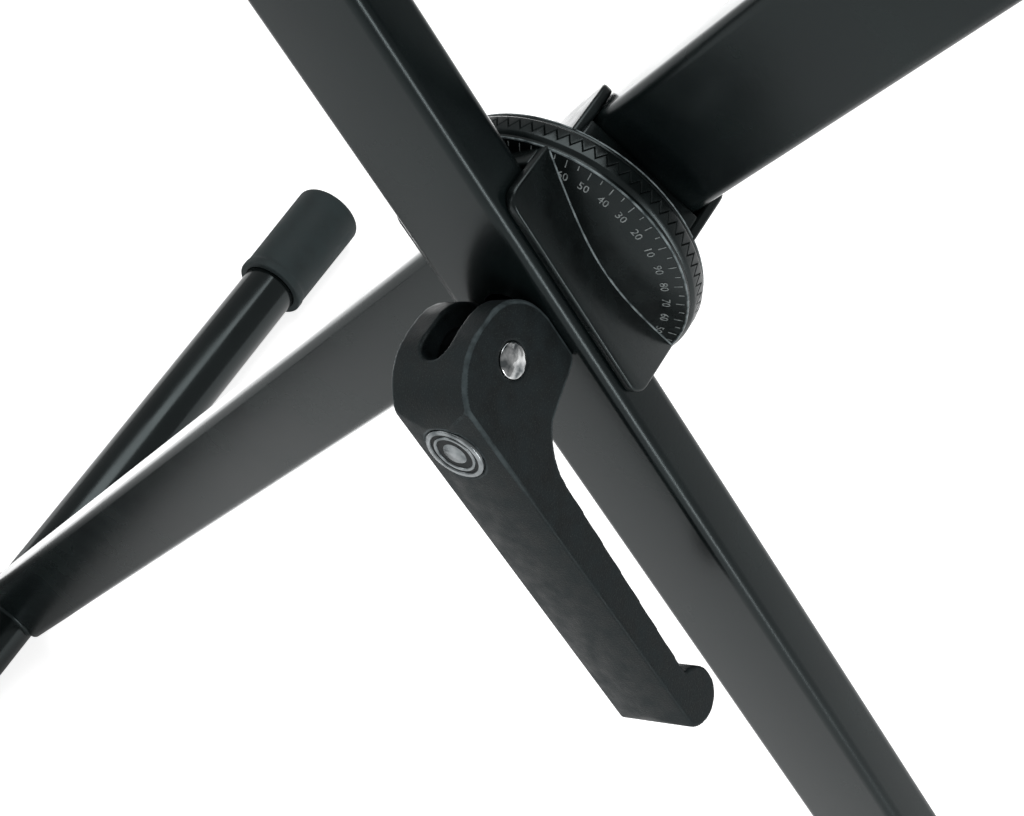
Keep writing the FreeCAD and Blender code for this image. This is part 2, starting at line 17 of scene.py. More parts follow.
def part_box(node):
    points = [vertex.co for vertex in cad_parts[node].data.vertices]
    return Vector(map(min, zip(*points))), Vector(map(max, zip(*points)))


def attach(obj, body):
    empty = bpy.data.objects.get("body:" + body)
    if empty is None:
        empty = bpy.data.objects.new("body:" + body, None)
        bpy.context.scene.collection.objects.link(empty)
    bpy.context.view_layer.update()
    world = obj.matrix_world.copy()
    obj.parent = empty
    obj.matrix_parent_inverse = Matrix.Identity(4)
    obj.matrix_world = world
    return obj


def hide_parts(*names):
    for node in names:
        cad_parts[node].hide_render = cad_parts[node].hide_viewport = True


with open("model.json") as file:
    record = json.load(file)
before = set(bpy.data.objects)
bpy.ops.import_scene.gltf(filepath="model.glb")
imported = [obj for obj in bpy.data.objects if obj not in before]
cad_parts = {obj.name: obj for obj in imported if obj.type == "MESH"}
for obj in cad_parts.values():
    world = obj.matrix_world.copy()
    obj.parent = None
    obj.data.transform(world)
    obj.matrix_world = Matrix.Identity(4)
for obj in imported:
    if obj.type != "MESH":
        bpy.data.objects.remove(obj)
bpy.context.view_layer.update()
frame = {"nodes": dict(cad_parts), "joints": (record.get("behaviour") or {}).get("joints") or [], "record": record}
MM = 0.001

# %% [markdown]
# ## Driving places
# Every piece sits where the frame says. The crossing's height comes from the fold joint, the leg's lean from the
# lever's axis, and the tubes' planes from their boxes, so nothing here is fitted by eye.

# %% Read the places from the frame
joints = {joint["name"]: joint for joint in frame["joints"]}
PIVOT = Vector(joints["fold"]["pos_m"])
lever_axis = Vector(joints["lever_turn"]["axis"])
LEAN = math.atan2(-lever_axis.z, -lever_axis.x)
tube_low, tube_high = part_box("front_leg_tube")
TUBE_FRONT = -tube_low[1]
TUBE_BACK = -tube_high[1]
DISC_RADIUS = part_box("front_gear_disc")[1][0]
LEGS = ((-1, "front"), (1, "rear"))
print("lean %.2f degrees, crossing at %.1f mm" % (math.degrees(LEAN), PIVOT.z / MM))


def leg_frame(side):
    """A leg's own axes at the crossing: x across the tube, z up the tube. side is -1 for the front leg."""
    return Matrix.Translation(Vector((0, 0, PIVOT.z))) @ Matrix.Rotation(side * LEAN, 4, "Y")


# %% [markdown]
# ## Camera
# The lens and place come from fitting the straight edges of the legs. The view looks down at the crossing from the
# player's right, close by, so the lower legs run away from us quickly.

# %% Set the camera
CAMERA_FROM_CROSSING = Vector((135.8, -257.45, 344.0)) * MM
AZIMUTH, ELEVATION, ROLL = (math.radians(angle) for angle in (30.0, 54.4, -1.14))
LENS, SENSOR = 71.56, 36

ahead = Vector((-math.sin(AZIMUTH) * math.cos(ELEVATION), math.cos(AZIMUTH) * math.cos(ELEVATION),
                -math.sin(ELEVATION)))
level = Vector((math.cos(AZIMUTH), math.sin(AZIMUTH), 0))
upright = level.cross(ahead)
right = level * math.cos(ROLL) + upright * math.sin(ROLL)
up = upright * math.cos(ROLL) - level * math.sin(ROLL)
camera = bpy.data.objects.new("camera", bpy.data.cameras.new("camera"))
camera.data.lens = LENS
camera.data.sensor_width = SENSOR
camera.data.clip_start = 0.01
camera.matrix_world = Matrix.Translation(PIVOT + CAMERA_FROM_CROSSING) @ Matrix(
    (right, up, -ahead)).transposed().to_4x4()
bpy.context.scene.collection.objects.link(camera)
bpy.context.scene.camera = camera
bpy.context.scene.view_settings.view_transform = "Standard"

# %% [markdown]
# ## Small tools
# A node tree is easiest to read when one call adds a node, sets it and links it. Hex colours are sRGB, as a paint
# chart gives them, and Blender works in linear light, so one function converts them.

# %% Node and colour helpers


def linear(hex_code):
    """An sRGB hex colour as linear RGBA."""
    values = [int(hex_code[i:i + 2], 16) / 255 for i in (1, 3, 5)]
    return tuple(v / 12.92 if v <= 0.04045 else ((v + 0.055) / 1.055) ** 2.4 for v in values) + (1,)


def add(tree, kind, sockets=None, **settings):
    """Adds a node; a socket's value may be a number, a colour or another node's output."""
    node = tree.nodes.new(kind)
    for name, value in settings.items():
        setattr(node, name, value)
    for key, value in (sockets or {}).items():
        if isinstance(value, bpy.types.NodeSocket):
            tree.links.new(value, node.inputs[key])
        else:
            node.inputs[key].default_value = value
    return node


def new_material(name, colour, roughness, metallic=0.0):
    """A material with its shader and the piece's own coordinates."""
    material = bpy.data.materials.new(name)
    material.use_nodes = True
    tree = material.node_tree
    shader = tree.nodes["Principled BSDF"]
    shader.inputs["Base Color"].default_value = linear(colour)
    shader.inputs["Roughness"].default_value = roughness
    shader.inputs["Metallic"].default_value = metallic
    if metallic == 0:
        shader.inputs["Specular Tint"].default_value = linear("#e0f0f2")
    spot = add(tree, "ShaderNodeTexCoord").outputs["Object"]
    return material, tree, shader, spot


def mottle(tree, shader, spot, grain, dark, light, low, high):
    """Patches of real size `grain` that shift the colour and the roughness a little."""
    cloud = add(tree, "ShaderNodeTexNoise", {"Vector": spot, "Scale": 1 / grain, "Detail": 3.0})
    patch = add(tree, "ShaderNodeMapRange", {"Value": cloud.outputs["Fac"], "From Min": 0.32, "From Max": 0.68})
    tone = add(tree, "ShaderNodeMix", {"Factor": patch.outputs["Result"], 6: linear(dark), 7: linear(light)},
               data_type="RGBA")
    tree.links.new(tone.outputs[2], shader.inputs["Base Color"])
    spread = add(tree, "ShaderNodeMapRange", {"Value": patch.outputs["Result"], "To Min": low, "To Max": high})
    tree.links.new(spread.outputs["Result"], shader.inputs["Roughness"])
    return tone.outputs[2]


def grained(tree, shader, spot, size, detail, depth, strength):
    """A skin with grains of a real size and depth, as bump."""
    noise = add(tree, "ShaderNodeTexNoise", {"Vector": spot, "Scale": 1 / size, "Detail": detail})
    bump = add(tree, "ShaderNodeBump", {"Height": noise.outputs["Fac"], "Distance": depth, "Strength": strength})
    tree.links.new(bump.outputs["Normal"], shader.inputs["Normal"])


# %% [markdown]
# ## Finishes
# Black on black is all about gloss. The powder coat on the legs is satin with a fine orange peel, the bars are
# glossier, the rubber caps are dull, and the glass-filled nylon of the lever has a dry grain with pale fibres.

# %% Powder coat on the legs
PEEL = 0.7 * MM          # orange peel is nearer 0.3 mm; drawn coarser so that it shows


def powder_coat():
    """Baked powder: satin black, with faint waves that soften each highlight."""
    material, tree, shader, spot = new_material("satin_powder_coat", "#0c1212", 0.34)
    shader.inputs["Specular IOR Level"].default_value = 0.33
    mottle(tree, shader, spot, 18 * MM, "#0a0f10", "#101717", 0.24, 0.28)
    grained(tree, shader, spot, PEEL, 2.0, 0.02 * MM, 0.6)
    return material


# %% Glossy coat on the round bars


def gloss_coat():
    """The same powder, glossier: a sharp bright line runs along each bar."""
    material, tree, shader, spot = new_material("gloss_powder_coat", "#060a0a", 0.18)
    mottle(tree, shader, spot, 22 * MM, "#050808", "#0a0e0e", 0.14, 0.22)
    grained(tree, shader, spot, PEEL, 2.0, 0.012 * MM, 0.5)
    return material


# %% Rubber of the feet and rests


def rubber(name, dark, light, grain, depth):
    """Moulded rubber: dull and sandy, with no clear highlight. The foam of the sleeves has larger grains."""
    material, tree, shader, spot = new_material(name, dark, 0.7)
    mottle(tree, shader, spot, 9 * MM, dark, light, 0.6, 0.78)
    grained(tree, shader, spot, grain, 4.0, depth, 0.7)
    return material


# %% Nylon of the lock discs


def disc_nylon():
    """Moulded nylon: nearly black and smooth, with soft flow marks."""
    material, tree, shader, spot = new_material("moulded_nylon", "#070a0a", 0.3)
    shader.inputs["Specular IOR Level"].default_value = 0.38
    mottle(tree, shader, spot, 6 * MM, "#0a0d0d", "#101515", 0.2, 0.32)
    grained(tree, shader, spot, 1.6 * MM, 2.0, 0.02 * MM, 0.5)
    return material


def painted_highlight_nylon():
    """The same nylon painted pale grey: a painted highlight for the bright line of light along the disc's thin
    beads.
    """
    material, tree, shader, spot = new_material("painted_highlight_nylon", "#5c6567", 0.25)
    mottle(tree, shader, spot, 2.5 * MM, "#3b4345", "#8b9597", 0.2, 0.35)
    return material


# %% Glass-filled nylon of the lever
FIBRE = 0.45 * MM        # fibre ends are nearer 0.1 mm; drawn coarser so that they show
EDGE = (0.509, 0.527)    # Pointiness from where an edge starts to where it is sharpest; a flat is 0.5
HANDLED = (19 * MM, 34 * MM)        # from the pin: hands rub the lever's head most, and its grip hardly; the painted edge highlight fades the same way
OUTSIDE = (13 * MM, 16 * MM)        # nearer the pin than this, the edges lie inside and stay dark, with neither wear nor painted highlight


def lever_nylon():
    """Dry, grained plastic: mottled, with pale specks where fibres reach the skin, and paler edges that are partly
    wear and partly a painted highlight.
    """
    material, tree, shader, spot = new_material("glass_filled_nylon", "#101516", 0.5)
    shader.inputs["Specular IOR Level"].default_value = 0.24
    tone = mottle(tree, shader, spot, 4 * MM, "#080b0c", "#171d1f", 0.42, 0.6)
    edge = add(tree, "ShaderNodeNewGeometry").outputs["Pointiness"]
    scratch = add(tree, "ShaderNodeTexNoise", {"Vector": spot, "Scale": 1 / (2.4 * MM), "Detail": 5.0})
    patchy = add(tree, "ShaderNodeMapRange", {
        "Value": scratch.outputs["Fac"], "From Min": 0.3, "From Max": 0.7, "To Min": 0.15, "To Max": 0.55})
    edge_wear_and_highlight = add(tree, "ShaderNodeMapRange", {"Value": edge, "From Min": EDGE[0], "From Max": EDGE[1]})
    pin_spot = tuple(joints["lever_turn"]["pos_m"])
    away = add(tree, "ShaderNodeVectorMath", {0: spot, 1: pin_spot}, operation="DISTANCE").outputs["Value"]
    handled = add(tree, "ShaderNodeMapRange", {
        "Value": away, "From Min": HANDLED[0], "From Max": HANDLED[1], "To Min": 1.0, "To Max": 0.05})
    outside = add(tree, "ShaderNodeMapRange", {"Value": away, "From Min": OUTSIDE[0], "From Max": OUTSIDE[1]})
    broken = edge_wear_and_highlight.outputs["Result"]
    for share in (handled, outside, patchy):
        broken = add(tree, "ShaderNodeMath", {0: broken, 1: share.outputs["Result"]},
                     operation="MULTIPLY").outputs[0]
    # Paler edges: partly wear, partly a painted highlight of the light along the rounded edges.
    worn_and_highlit = add(tree, "ShaderNodeMix", {"Factor": broken, 6: tone, 7: linear("#5d686b")}, data_type="RGBA")
    cells = add(tree, "ShaderNodeTexVoronoi", {"Vector": spot, "Scale": 1 / FIBRE})
    dots = add(tree, "ShaderNodeMapRange", {
        "Value": cells.outputs["Distance"], "From Min": 0.05, "From Max": 0.3, "To Min": 0.5, "To Max": 0.0})
    speckled = add(tree, "ShaderNodeMix", {
        "Factor": dots.outputs["Result"], 6: worn_and_highlit.outputs[2], 7: linear("#39433f")}, data_type="RGBA")
    tree.links.new(speckled.outputs[2], shader.inputs["Base Color"])
    grained(tree, shader, spot, FIBRE, 3.0, 0.08 * MM, 0.8)
    return material


# %% Metals: chrome pin, turned badge, plated hardware
DENT = 3.2 * MM
RING = 0.35 * MM         # one radian of a turning mark, so the marks are 2.2 mm apart


def bright_chrome():
    """Chrome plate: a mirror, dented a little, so that its picture of the studio is broken up."""
    material, tree, shader, spot = new_material("bright_chrome", "#d6d8d9", 0.07, 1.0)
    mottle(tree, shader, spot, DENT, "#6a6f71", "#fbfcfc", 0.05, 0.14)
    grained(tree, shader, spot, DENT, 1.0, 0.6 * MM, 0.9)
    return material


def turned_metal():
    """Badge metal with soft turning marks in rings about its centre."""
    material, tree, shader, spot = new_material("turned_aluminium", "#808587", 0.3, 1.0)
    mottle(tree, shader, spot, 4 * MM, "#5d6365", "#a0a5a7", 0.22, 0.38)
    low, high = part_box("lever_badge")
    to_centre = [-(a + b) / 2 for a, b in zip(low, high)]
    moved = add(tree, "ShaderNodeMapping", {"Vector": spot, "Location": to_centre})
    # At scale 1 the wave turns through 20 radians a metre.
    rings = add(tree, "ShaderNodeTexWave", {"Vector": moved.outputs["Vector"], "Scale": 1 / RING / 20},
                wave_type="RINGS", rings_direction="SPHERICAL")
    marks = add(tree, "ShaderNodeBump", {"Height": rings.outputs["Fac"], "Distance": 0.02 * MM, "Strength": 0.5})
    tree.links.new(marks.outputs["Normal"], shader.inputs["Normal"])
    return material


def dark_enamel():
    """Soft black fill between the badge's rings, a little worn."""
    material, tree, shader, spot = new_material("dark_enamel", "#0a0c0d", 0.4)
    shader.inputs["Specular IOR Level"].default_value = 0.15
    mottle(tree, shader, spot, 1.5 * MM, "#070909", "#131718", 0.35, 0.5)
    return material


def plated_steel(name, dark, light):
    """Plated hardware: a dim, cloudy metal sheen. Zinc is pale, black oxide nearly black."""
    material, tree, shader, spot = new_material(name, dark, 0.32, 1.0)
    mottle(tree, shader, spot, 4 * MM, dark, light, 0.26, 0.4)
    grained(tree, shader, spot, 0.5 * MM, 2.0, 0.01 * MM, 0.5)
    return material


def scale_print():
    """Pad-printed ink: pale grey, thin and slightly patchy."""
    material, tree, shader, spot = new_material("printed_scale", "#8f9696", 0.6)
    mottle(tree, shader, spot, 0.8 * MM, "#5a6161", "#a5abab", 0.5, 0.65)
    return material


# %% Make the finishes and dress the frame's own nodes
paint = powder_coat()
bar_paint = gloss_coat()
cap_rubber = rubber("moulded_rubber", "#1a2021", "#262e2f", 0.6 * MM, 0.05 * MM)
sleeve_rubber = rubber("foam_rubber", "#17191a", "#212425", 0.9 * MM, 0.12 * MM)
nylon = disc_nylon()
painted_highlight = painted_highlight_nylon()
lever_skin = lever_nylon()
chrome = bright_chrome()
badge_metal = turned_metal()
enamel = dark_enamel()
zinc = plated_steel("zinc_plated_steel", "#8c9194", "#b1b4b6")
black_oxide = plated_steel("black_oxide_steel", "#17191a", "#2b2e2f")
ink = scale_print()

FINISH = {
    "leg_paint": paint, "bar_paint": bar_paint, "cap_rubber": cap_rubber, "sleeve_rubber": sleeve_rubber,
    "disc_plastic": nylon, "lever_plastic": lever_skin, "badge_metal": badge_metal, "pin_chrome": chrome,
    "zinc_steel": zinc}
slot_of = {part["node"]: part["material_slot"] for part in frame["record"]["subparts"]}
body_of = {node: body for body, nodes in frame["record"]["behaviour"]["bodies"].items() for node in nodes}
for name, node in frame["nodes"].items():
    for place in node.material_slots:
        place.link = "OBJECT"
        place.material = FINISH[slot_of[name]]
print("dressed", len(frame["nodes"]), "nodes")

# %% [markdown]
# ## Putting a piece in place
# A finished piece sits at the origin with its place in its mesh, rides on its body and stands for its node.

# %% Piece helpers


def settle(piece, node, slots, stands=True):
    """Gives a piece its finish and its body, and hides the node that it stands in for when stands is true."""
    for material in slots:
        piece.data.materials.append(material)
    if piece.name not in bpy.context.scene.collection.objects:
        bpy.context.scene.collection.objects.link(piece)
    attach(piece, body_of[node])
    if stands:
        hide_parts(node)
    return piece


def mesh_piece(name, points, faces, smooth_angle=35):
    """A mesh object from points in metres, with smooth shading up to an angle."""
    mesh = bpy.data.meshes.new(name)
    mesh.from_pydata([tuple(p) for p in points], [], faces)
    work = bmesh.new()
    work.from_mesh(mesh)
    bmesh.ops.remove_doubles(work, verts=work.verts, dist=1e-7)
    bmesh.ops.recalc_face_normals(work, faces=work.faces)
    work.to_mesh(mesh)
    work.free()
    soften(mesh, smooth_angle)
    return bpy.data.objects.new(name, mesh)


def soften(mesh, angle):
    """Smooth shading, kept sharp where faces meet at more than the angle."""
    mesh.polygons.foreach_set("use_smooth", [True] * len(mesh.polygons))
    mesh.set_sharp_from_angle(angle=math.radians(angle))


def bevelled(piece, width, segments):
    """Rounds a piece's sharp edges, as plain mesh."""
    bevel = piece.modifiers.new("rounded_edges", "BEVEL")
    bevel.width = width
    bevel.segments = segments
    bevel.limit_method = "ANGLE"
    bevel.angle_limit = math.radians(32)
    return made_plain(piece)


def made_plain(piece):
    """Applies a piece's modifiers by taking its evaluated mesh."""
    if piece.name not in bpy.context.scene.collection.objects:
        bpy.context.scene.collection.objects.link(piece)
    graph = bpy.context.evaluated_depsgraph_get()
    graph.update()
    mesh = bpy.data.meshes.new_from_object(piece.evaluated_get(graph))
    piece.modifiers.clear()
    piece.data = mesh
    return piece


def copied(node, name, flatten=True):
    """A merged copy of a node's mesh, its flat faces joined where asked, ready to be rounded."""
    mesh = frame["nodes"][node].data.copy()
    mesh.name = name
    mesh.materials.clear()
    work = bmesh.new()
    work.from_mesh(mesh)
    bmesh.ops.remove_doubles(work, verts=work.verts, dist=2e-6)
    if flatten:
        bmesh.ops.dissolve_limit(work, angle_limit=math.radians(0.5), verts=work.verts, edges=work.edges)
    work.to_mesh(mesh)
    work.free()
    return bpy.data.objects.new(name, mesh)


# %% [markdown]
# ## The legs
# A rolled tube has round corners, and a highlight runs down each. A section swept from end to end, with eight
# short faces on every corner, gives that highlight; the ends reach into the bar's weld.

# %% Leg tubes
TUBE_WIDTH = 30 * MM
TUBE_CORNER = 3 * MM
BAR_RADIUS = 13 * MM
REACH = 490 * MM         # from the crossing to the axis of a leg's bar
SETBACK = 8 * MM         # from that axis to the tube's mouth


def rounded_section(width, depth, corner):
    """Points round a rectangle with round corners, anticlockwise about its centre."""
    steps = 8
    points = []
    for quarter in range(4):
        turn = quarter * math.pi / 2
        sign_x = 1 if quarter in (0, 3) else -1
        sign_y = 1 if quarter in (0, 1) else -1
        for step in range(steps + 1):
            angle = turn + step / steps * math.pi / 2
            points.append((sign_x * (width / 2 - corner) + corner * math.cos(angle),
                           sign_y * (depth / 2 - corner) + corner * math.sin(angle)))
    return points


def leg_tube(side, name, node):
    """The flat tube of one leg, with its corners rolled round."""
    place = leg_frame(side)
    middle = side * (TUBE_FRONT + TUBE_BACK) / 2
    section = rounded_section(TUBE_WIDTH, TUBE_FRONT - TUBE_BACK, TUBE_CORNER)
    ends = (-(REACH - SETBACK), REACH - SETBACK)
    points = [place @ Vector((x, y + middle, z)) for z in ends for x, y in section]
    count = len(section)
    faces = [(i, (i + 1) % count, (i + 1) % count + count, i + count) for i in range(count)]
    faces += [tuple(range(count)), tuple(range(count, 2 * count))]
    return settle(mesh_piece(name, points, faces), node, [paint])


leg_tube(-1, "front_leg_tube_rolled", "front_leg_tube")
leg_tube(1, "rear_leg_tube_rolled", "rear_leg_tube")

# %% [markdown]
# ## Turned pieces
# Bars, caps and sleeves are all round about the Y direction. One lathe function spins a profile of (radius, along)
# points; round corners in a profile are short arcs, so a cap's rim catches a soft line of light.

# %% The lathe
LATHE_STEPS = 96


def arc(centre_r, centre_y, radius, start, end, steps=6):
    """Profile points on an arc, in degrees from the radius direction towards +Y."""
    spots = [math.radians(start + (end - start) * k / steps) for k in range(steps + 1)]
    return [(centre_r + radius * math.cos(a), centre_y + radius * math.sin(a)) for a in spots]


def spun_faces(steps, rows):
    """The faces between neighbouring columns of a spun grid, each column `rows` points long."""
    faces = []
    for step in range(steps):
        after = (step + 1) % steps
        for row in range(rows - 1):
            a, b = step * rows + row, step * rows + row + 1
            c, d = after * rows + row + 1, after * rows + row
            faces.append((a, b, c, d))
    return faces


def lathe(name, profile, x, z, floor=None):
    """Spins a profile about a Y axis through (x, z); points under the floor are pressed flat onto it."""
    points = []
    for step in range(LATHE_STEPS):
        angle = 2 * math.pi * step / LATHE_STEPS
        for radius, along in profile:
            height = z + radius * math.sin(angle)
            if floor is not None:
                height = max(height, floor)
            points.append((x + radius * math.cos(angle), along, height))
    return mesh_piece(name, points, spun_faces(LATHE_STEPS, len(profile)))


def middle_of(node):
    """X and Z of a turned node's axis, and its two ends along Y."""
    low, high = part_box(node)
    return (low[0] + high[0]) / 2, high[2] - (high[0] - low[0]) / 2, low[1], high[1]


# %% Round bars
for node in ("front_leg_foot_bar", "rear_leg_foot_bar", "front_leg_rest_bar", "rear_leg_rest_bar"):
    x, z, start, end = middle_of(node)
    bar = lathe(node + "_drawn", [(0, start), (BAR_RADIUS, start), (BAR_RADIUS, end), (0, end)], x, z)
    settle(bar, node, [bar_paint])

# %% [markdown]
# ## Rubber caps and sleeves
# A foot cap is moulded in one piece: a lip at the mouth, a body that flares slightly, and a domed end with a round
# rim. It stands on a narrow flat sole. The sleeves on the rests are soft, with rounded ends.

# %% Foot caps
FOOT_CAP_RADIUS = 16.5 * MM
SOLE_CUT = 0.5 * MM      # how far the round cap is flattened where it stands
MOUTH_CORNER = 0.8 * MM


def mouth_corner(mouth, along, outer):
    """The rounded rim of a cap's mouth."""
    turned = arc(outer - MOUTH_CORNER, 0, MOUTH_CORNER, 90, 0)
    return [(r, mouth + along * (MOUTH_CORNER - y)) for r, y in turned]


def foot_cap(node, along):
    """One foot cap; along is -1 where its closed end faces the player."""
    x, _, low, high = middle_of(node)
    mouth, end = (high, low) if along < 0 else (low, high)
    outer, slim = FOOT_CAP_RADIUS, FOOT_CAP_RADIUS - 0.4 * MM
    lip, rim, dome = 4 * MM, 3 * MM, 0.5 * MM
    profile = [(BAR_RADIUS, mouth + along * 1.2 * MM), (BAR_RADIUS + 0.4 * MM, mouth)]
    profile += mouth_corner(mouth, along, outer)
    profile += [(outer, mouth + along * (lip - 0.6 * MM)), (outer - 0.1 * MM, mouth + along * (lip - 0.2 * MM)),
                (slim, mouth + along * (lip + 0.4 * MM)), (slim, mouth + along * (lip + 2 * MM))]
    profile += [(r, end - along * (rim + dome - y)) for r, y in arc(outer - rim, 0, rim, 0, 80, 10)]
    profile += [(outer * 0.6, end - along * dome * 0.5), (outer * 0.3, end - along * dome * 0.1), (0, end)]
    cap = lathe(node + "_moulded", profile, x, FOOT_CAP_RADIUS - SOLE_CUT, floor=0.0)
    return settle(cap, node, [cap_rubber])


for side in ("left", "right"):
    foot_cap(side + "_foot_cap_front", -1)
    foot_cap(side + "_foot_cap_back", 1)

# %% Caps and sleeves of the rests
SLEEVE_RADIUS = 15.55 * MM
SLEEVE_CORNER = 1 * MM
FLANGE_THICKNESS = 7 * MM


def rest_cap(node, along, radius):
    """A cap of a rest bar: a collar, and a flange with rounded edges where the radius is wider than it."""
    x, z, low, high = middle_of(node)
    mouth, end = (high, low) if along < 0 else (low, high)
    collar, edge = 16 * MM, 2 * MM
    flange = end - along * FLANGE_THICKNESS
    profile = [(BAR_RADIUS, mouth)]
    profile += mouth_corner(mouth, along, collar)
    if radius > collar:
        profile += [(collar, flange - along * 1.5 * MM), (collar + 0.5 * MM, flange - along * 0.4 * MM),
                    (collar + 1.5 * MM, flange)]
        profile += [(r, flange + along * (1 * MM - y)) for r, y in arc(radius - 1 * MM, 0, 1 * MM, 90, 0)]
    profile += [(r, end - along * (edge - y)) for r, y in arc(max(radius, collar) - edge, 0, edge, 0, 90)]
    profile += [(0, end)]
    return settle(lathe(node + "_moulded", profile, x, z), node, [cap_rubber])


def rest_sleeve(node):
    """A soft sleeve with rounded ends and three shallow grooves that stop the keyboard from creeping."""
    x, z, start, end = middle_of(node)
    outer, corner = SLEEVE_RADIUS, SLEEVE_CORNER
    profile = [(BAR_RADIUS, start)]
    profile += [(r, start + corner - y) for r, y in arc(outer - corner, 0, corner, 90, 0)]
    for share in (0.2, 0.5, 0.8):
        groove = start + (end - start) * share
        profile += [(outer, groove - 1.2 * MM), (outer - 0.5 * MM, groove - 0.4 * MM),
                    (outer - 0.5 * MM, groove + 0.4 * MM), (outer, groove + 1.2 * MM)]
    profile += [(r, end - corner + y) for r, y in arc(outer - corner, 0, corner, 0, 90)]
    profile += [(BAR_RADIUS, end)]
    return settle(lathe(node + "_soft", profile, x, z), node, [sleeve_rubber])


for side in ("left", "right"):
    rest_cap(side + "_rest_stop_cap", -1, 22 * MM)
    rest_cap(side + "_rest_end_cap", 1, 15.9 * MM)
    rest_sleeve(side + "_rest_sleeve_front")
    rest_sleeve(side + "_rest_sleeve_back")

# %% [markdown]
# ## Lock discs
# The discs mesh face to face: 72 radial teeth, so the legs lock every five degrees. A grid of angle by profile
# makes the whole disc. Its outer rows follow the same wave, flat flanks that grow with the radius, on both discs.

# %% Disc bodies
TEETH = 72
TOOTH_SLOPE = 1.2 * MM / DISC_RADIUS         # half a tooth's height at the rim, for each unit of radius
MESH_GAP = 0.05 * MM                         # each disc's half of the play between the flanks
BAND = DISC_RADIUS - 6.5 * MM                # inner radius of the toothed band
HOLE, CHAMBER = 4.3 * MM, 9.2 * MM           # radii of the rod's hole and the spring's chamber
RECESS, FLOOR, BACK = 1.5 * MM, 6.8 * MM, 8.8 * MM      # depths of the face, the chamber and the whole disc
CONE_TOP = Vector((33.5, 3.6)) * MM          # radius and depth where the dish meets the rim
CONE_FOOT = Vector((18.0, 8.8)) * MM
SLOPE = math.atan2(CONE_FOOT.y - CONE_TOP.y, CONE_TOP.x - CONE_FOOT.x)


def wave_at(angle):
    """The teeth's triangle wave, -1 to 1, one tooth for each pitch."""
    phase = angle * TEETH / (2 * math.pi) % 1
    return 4 * abs(phase - 0.5) - 1


def disc_profile():
    """(radius, depth, on the teeth?) from the axis hole round the rim to the back, depth away from the teeth."""
    rim = DISC_RADIUS
    rows = [(HOLE, FLOOR, False), (CHAMBER, FLOOR, False), (CHAMBER, RECESS, False), (BAND, RECESS, False)]
    rows += [(BAND, 0, True), (BAND + 0.1 * MM, 0, True), (rim - 0.25 * MM, 0, True), (rim, 0.35 * MM, True)]
    rows += [(rim, 1.8 * MM, False), (rim - 0.1 * MM, 2.1 * MM, False), (rim - 0.6 * MM, 2.7 * MM, False)]
    for inward, depth in ((0, 2.8), (-0.05, 2.95), (0, 3.4), (0.2, 3.62), (0.7, 3.82)):
        rows.append((CONE_TOP.x - inward * MM, depth * MM, False))
    rows += [(CONE_FOOT.x, BACK - 0.1 * MM, False), (CONE_FOOT.x - 0.6 * MM, BACK, False), (HOLE, BACK, False)]
    return rows


def disc_body(side):
    """One disc about the leg's own axes, without its saddle."""
    place = leg_frame(side)
    rows = disc_profile()
    steps = TEETH * 4
    points, faces = [], []
    for step in range(steps):
        angle = 2 * math.pi * step / steps
        for radius, depth, toothed in rows:
            along = side * depth
            if toothed:
                shape = wave_at(angle) * TOOTH_SLOPE * radius
                along = -shape + side * (depth + MESH_GAP)
            turn = angle + side * LEAN
            points.append(place @ Vector((radius * math.cos(turn), along, radius * math.sin(turn))))
    count = len(rows)
    for step in range(steps):
        after = (step + 1) % steps
        for row in range(count):
            nxt = (row + 1) % count
            faces.append((step * count + row, step * count + nxt, after * count + nxt, after * count + row))
    return mesh_piece("disc_%d" % side, points, faces, 28)


# %% [markdown]
# The saddle is moulded with the disc: a block behind the tube and a cheek on each side of it. Each cheek is a flat
# plate with two rounded corners, and a bevel rounds every edge as the mould does.

# %% Saddles
CHEEK_IN, CHEEK_OUT = 15.15 * MM, 17.75 * MM         # from the middle of the tube
SADDLE_HALF = 29 * MM                                # half its length along the tube
CHEEK_TIP = 20.1 * MM                                # how far the cheeks reach past the teeth's plane
BLOCK_FOOT = 3 * MM                                  # where the block starts inside the disc


def saddle(side):
    """A U that grips the tube, its free corners rounded."""
    place = leg_frame(side)
    corner = 4 * MM
    centre_y, centre_z = CHEEK_TIP - corner, SADDLE_HALF - corner
    bend = [(corner * math.sin(a), corner * math.cos(a)) for a in np.linspace(0, math.pi / 2, 7)]
    shape = [(BLOCK_FOOT, -SADDLE_HALF)]
    shape += [(centre_y + out, -centre_z - rise) for out, rise in bend]
    shape += [(centre_y + out, centre_z + rise) for out, rise in reversed(bend)]
    shape += [(BLOCK_FOOT, SADDLE_HALF)]
    n = len(shape)

    points, faces = [], []
    for x0, x1 in ((-CHEEK_OUT, -CHEEK_IN), (CHEEK_IN, CHEEK_OUT)):
        first = len(points)
        points += [place @ Vector((x0, side * y, z)) for y, z in shape]
        points += [place @ Vector((x1, side * y, z)) for y, z in shape]
        faces += [tuple(first + i for i in range(n)), tuple(first + n + i for i in range(n))]
        faces += [(first + i, first + (i + 1) % n, first + n + (i + 1) % n, first + n + i) for i in range(n)]
    first = len(points)
    half_block = CHEEK_IN + 0.5 * MM         # sunk into both cheeks
    for x in (-half_block, half_block):
        for y, z in ((BLOCK_FOOT, -1), (TUBE_BACK, -1), (TUBE_BACK, 1), (BLOCK_FOOT, 1)):
            points.append(place @ Vector((x, side * y, z * SADDLE_HALF)))
    box_faces = [(0, 1, 2, 3), (4, 5, 6, 7), (0, 1, 5, 4), (1, 2, 6, 5), (2, 3, 7, 6), (3, 0, 4, 7)]
    faces += [tuple(first + i for i in face) for face in box_faces]
    piece = mesh_piece("saddle_%d" % side, points, faces)
    return bevelled(piece, 0.8 * MM, 4)


